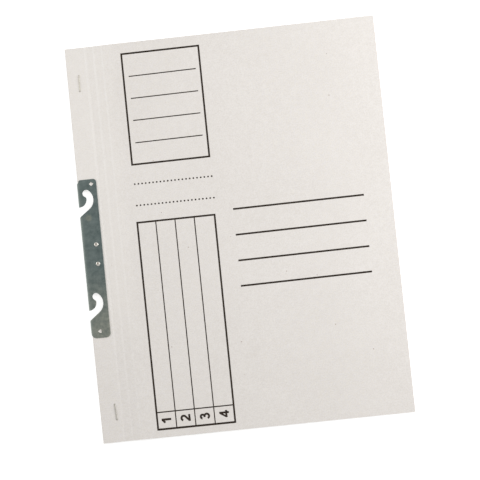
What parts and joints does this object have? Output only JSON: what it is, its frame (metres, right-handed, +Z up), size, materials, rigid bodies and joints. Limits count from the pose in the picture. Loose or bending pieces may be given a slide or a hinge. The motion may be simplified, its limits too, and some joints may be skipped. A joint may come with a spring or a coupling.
{
  "type": "hook-in fastener folder",
  "caption": "Closed board folder with a creased front cover, a slotted steel hook plate folded round the spine and an inner tongue fastener for punched paper.",
  "frame": {"origin": "middle of the folder's outline at the table, under the flat back cover", "axes": "+X from the spine to the free edge, +Y along the spine to the head of the cover, +Z up through the front cover"},
  "size_m": [0.2406, 0.305, 0.0029],
  "materials": {
    "cover_board": "matte",
    "strip_board": "matte",
    "plate_steel": "satin",
    "rivet_steel": "satin",
    "staple_wire": "satin",
    "fastener_steel": "satin"
  },
  "bodies": {
    "folder_back": {"spine_margin": "cover_board", "back_cover": "cover_board", "binding_strip": "strip_board", "hook_plate": "plate_steel", "rivet_upper": "rivet_steel", "rivet_lower": "rivet_steel", "staple_top": "staple_wire", "staple_bottom": "staple_wire", "fastener_base": "fastener_steel", "cover_bar": "fastener_steel"},
    "cover_strip_inner": {"cover_strip_1": "cover_board"},
    "cover_strip_outer": {"cover_strip_2": "cover_board"},
    "front_cover": {"cover_panel": "cover_board"}
  },
  "joints": [
    {"name": "crease_1", "type": "hinge", "parent": "folder_back", "child": "cover_strip_inner", "pos_m": [-0.10275, 0, 0.0017], "axis": [0, -1, 0], "range_deg": [0, 61]},
    {"name": "crease_2", "type": "hinge", "parent": "cover_strip_inner", "child": "cover_strip_outer", "pos_m": [-0.09615, 0, 0.00225], "axis": [0, -1, 0], "range_deg": [0, 61]},
    {"name": "crease_3", "type": "hinge", "parent": "cover_strip_outer", "child": "front_cover", "pos_m": [-0.08955, 0, 0.0028], "axis": [0, -1, 0], "range_deg": [0, 61]}
  ]
}
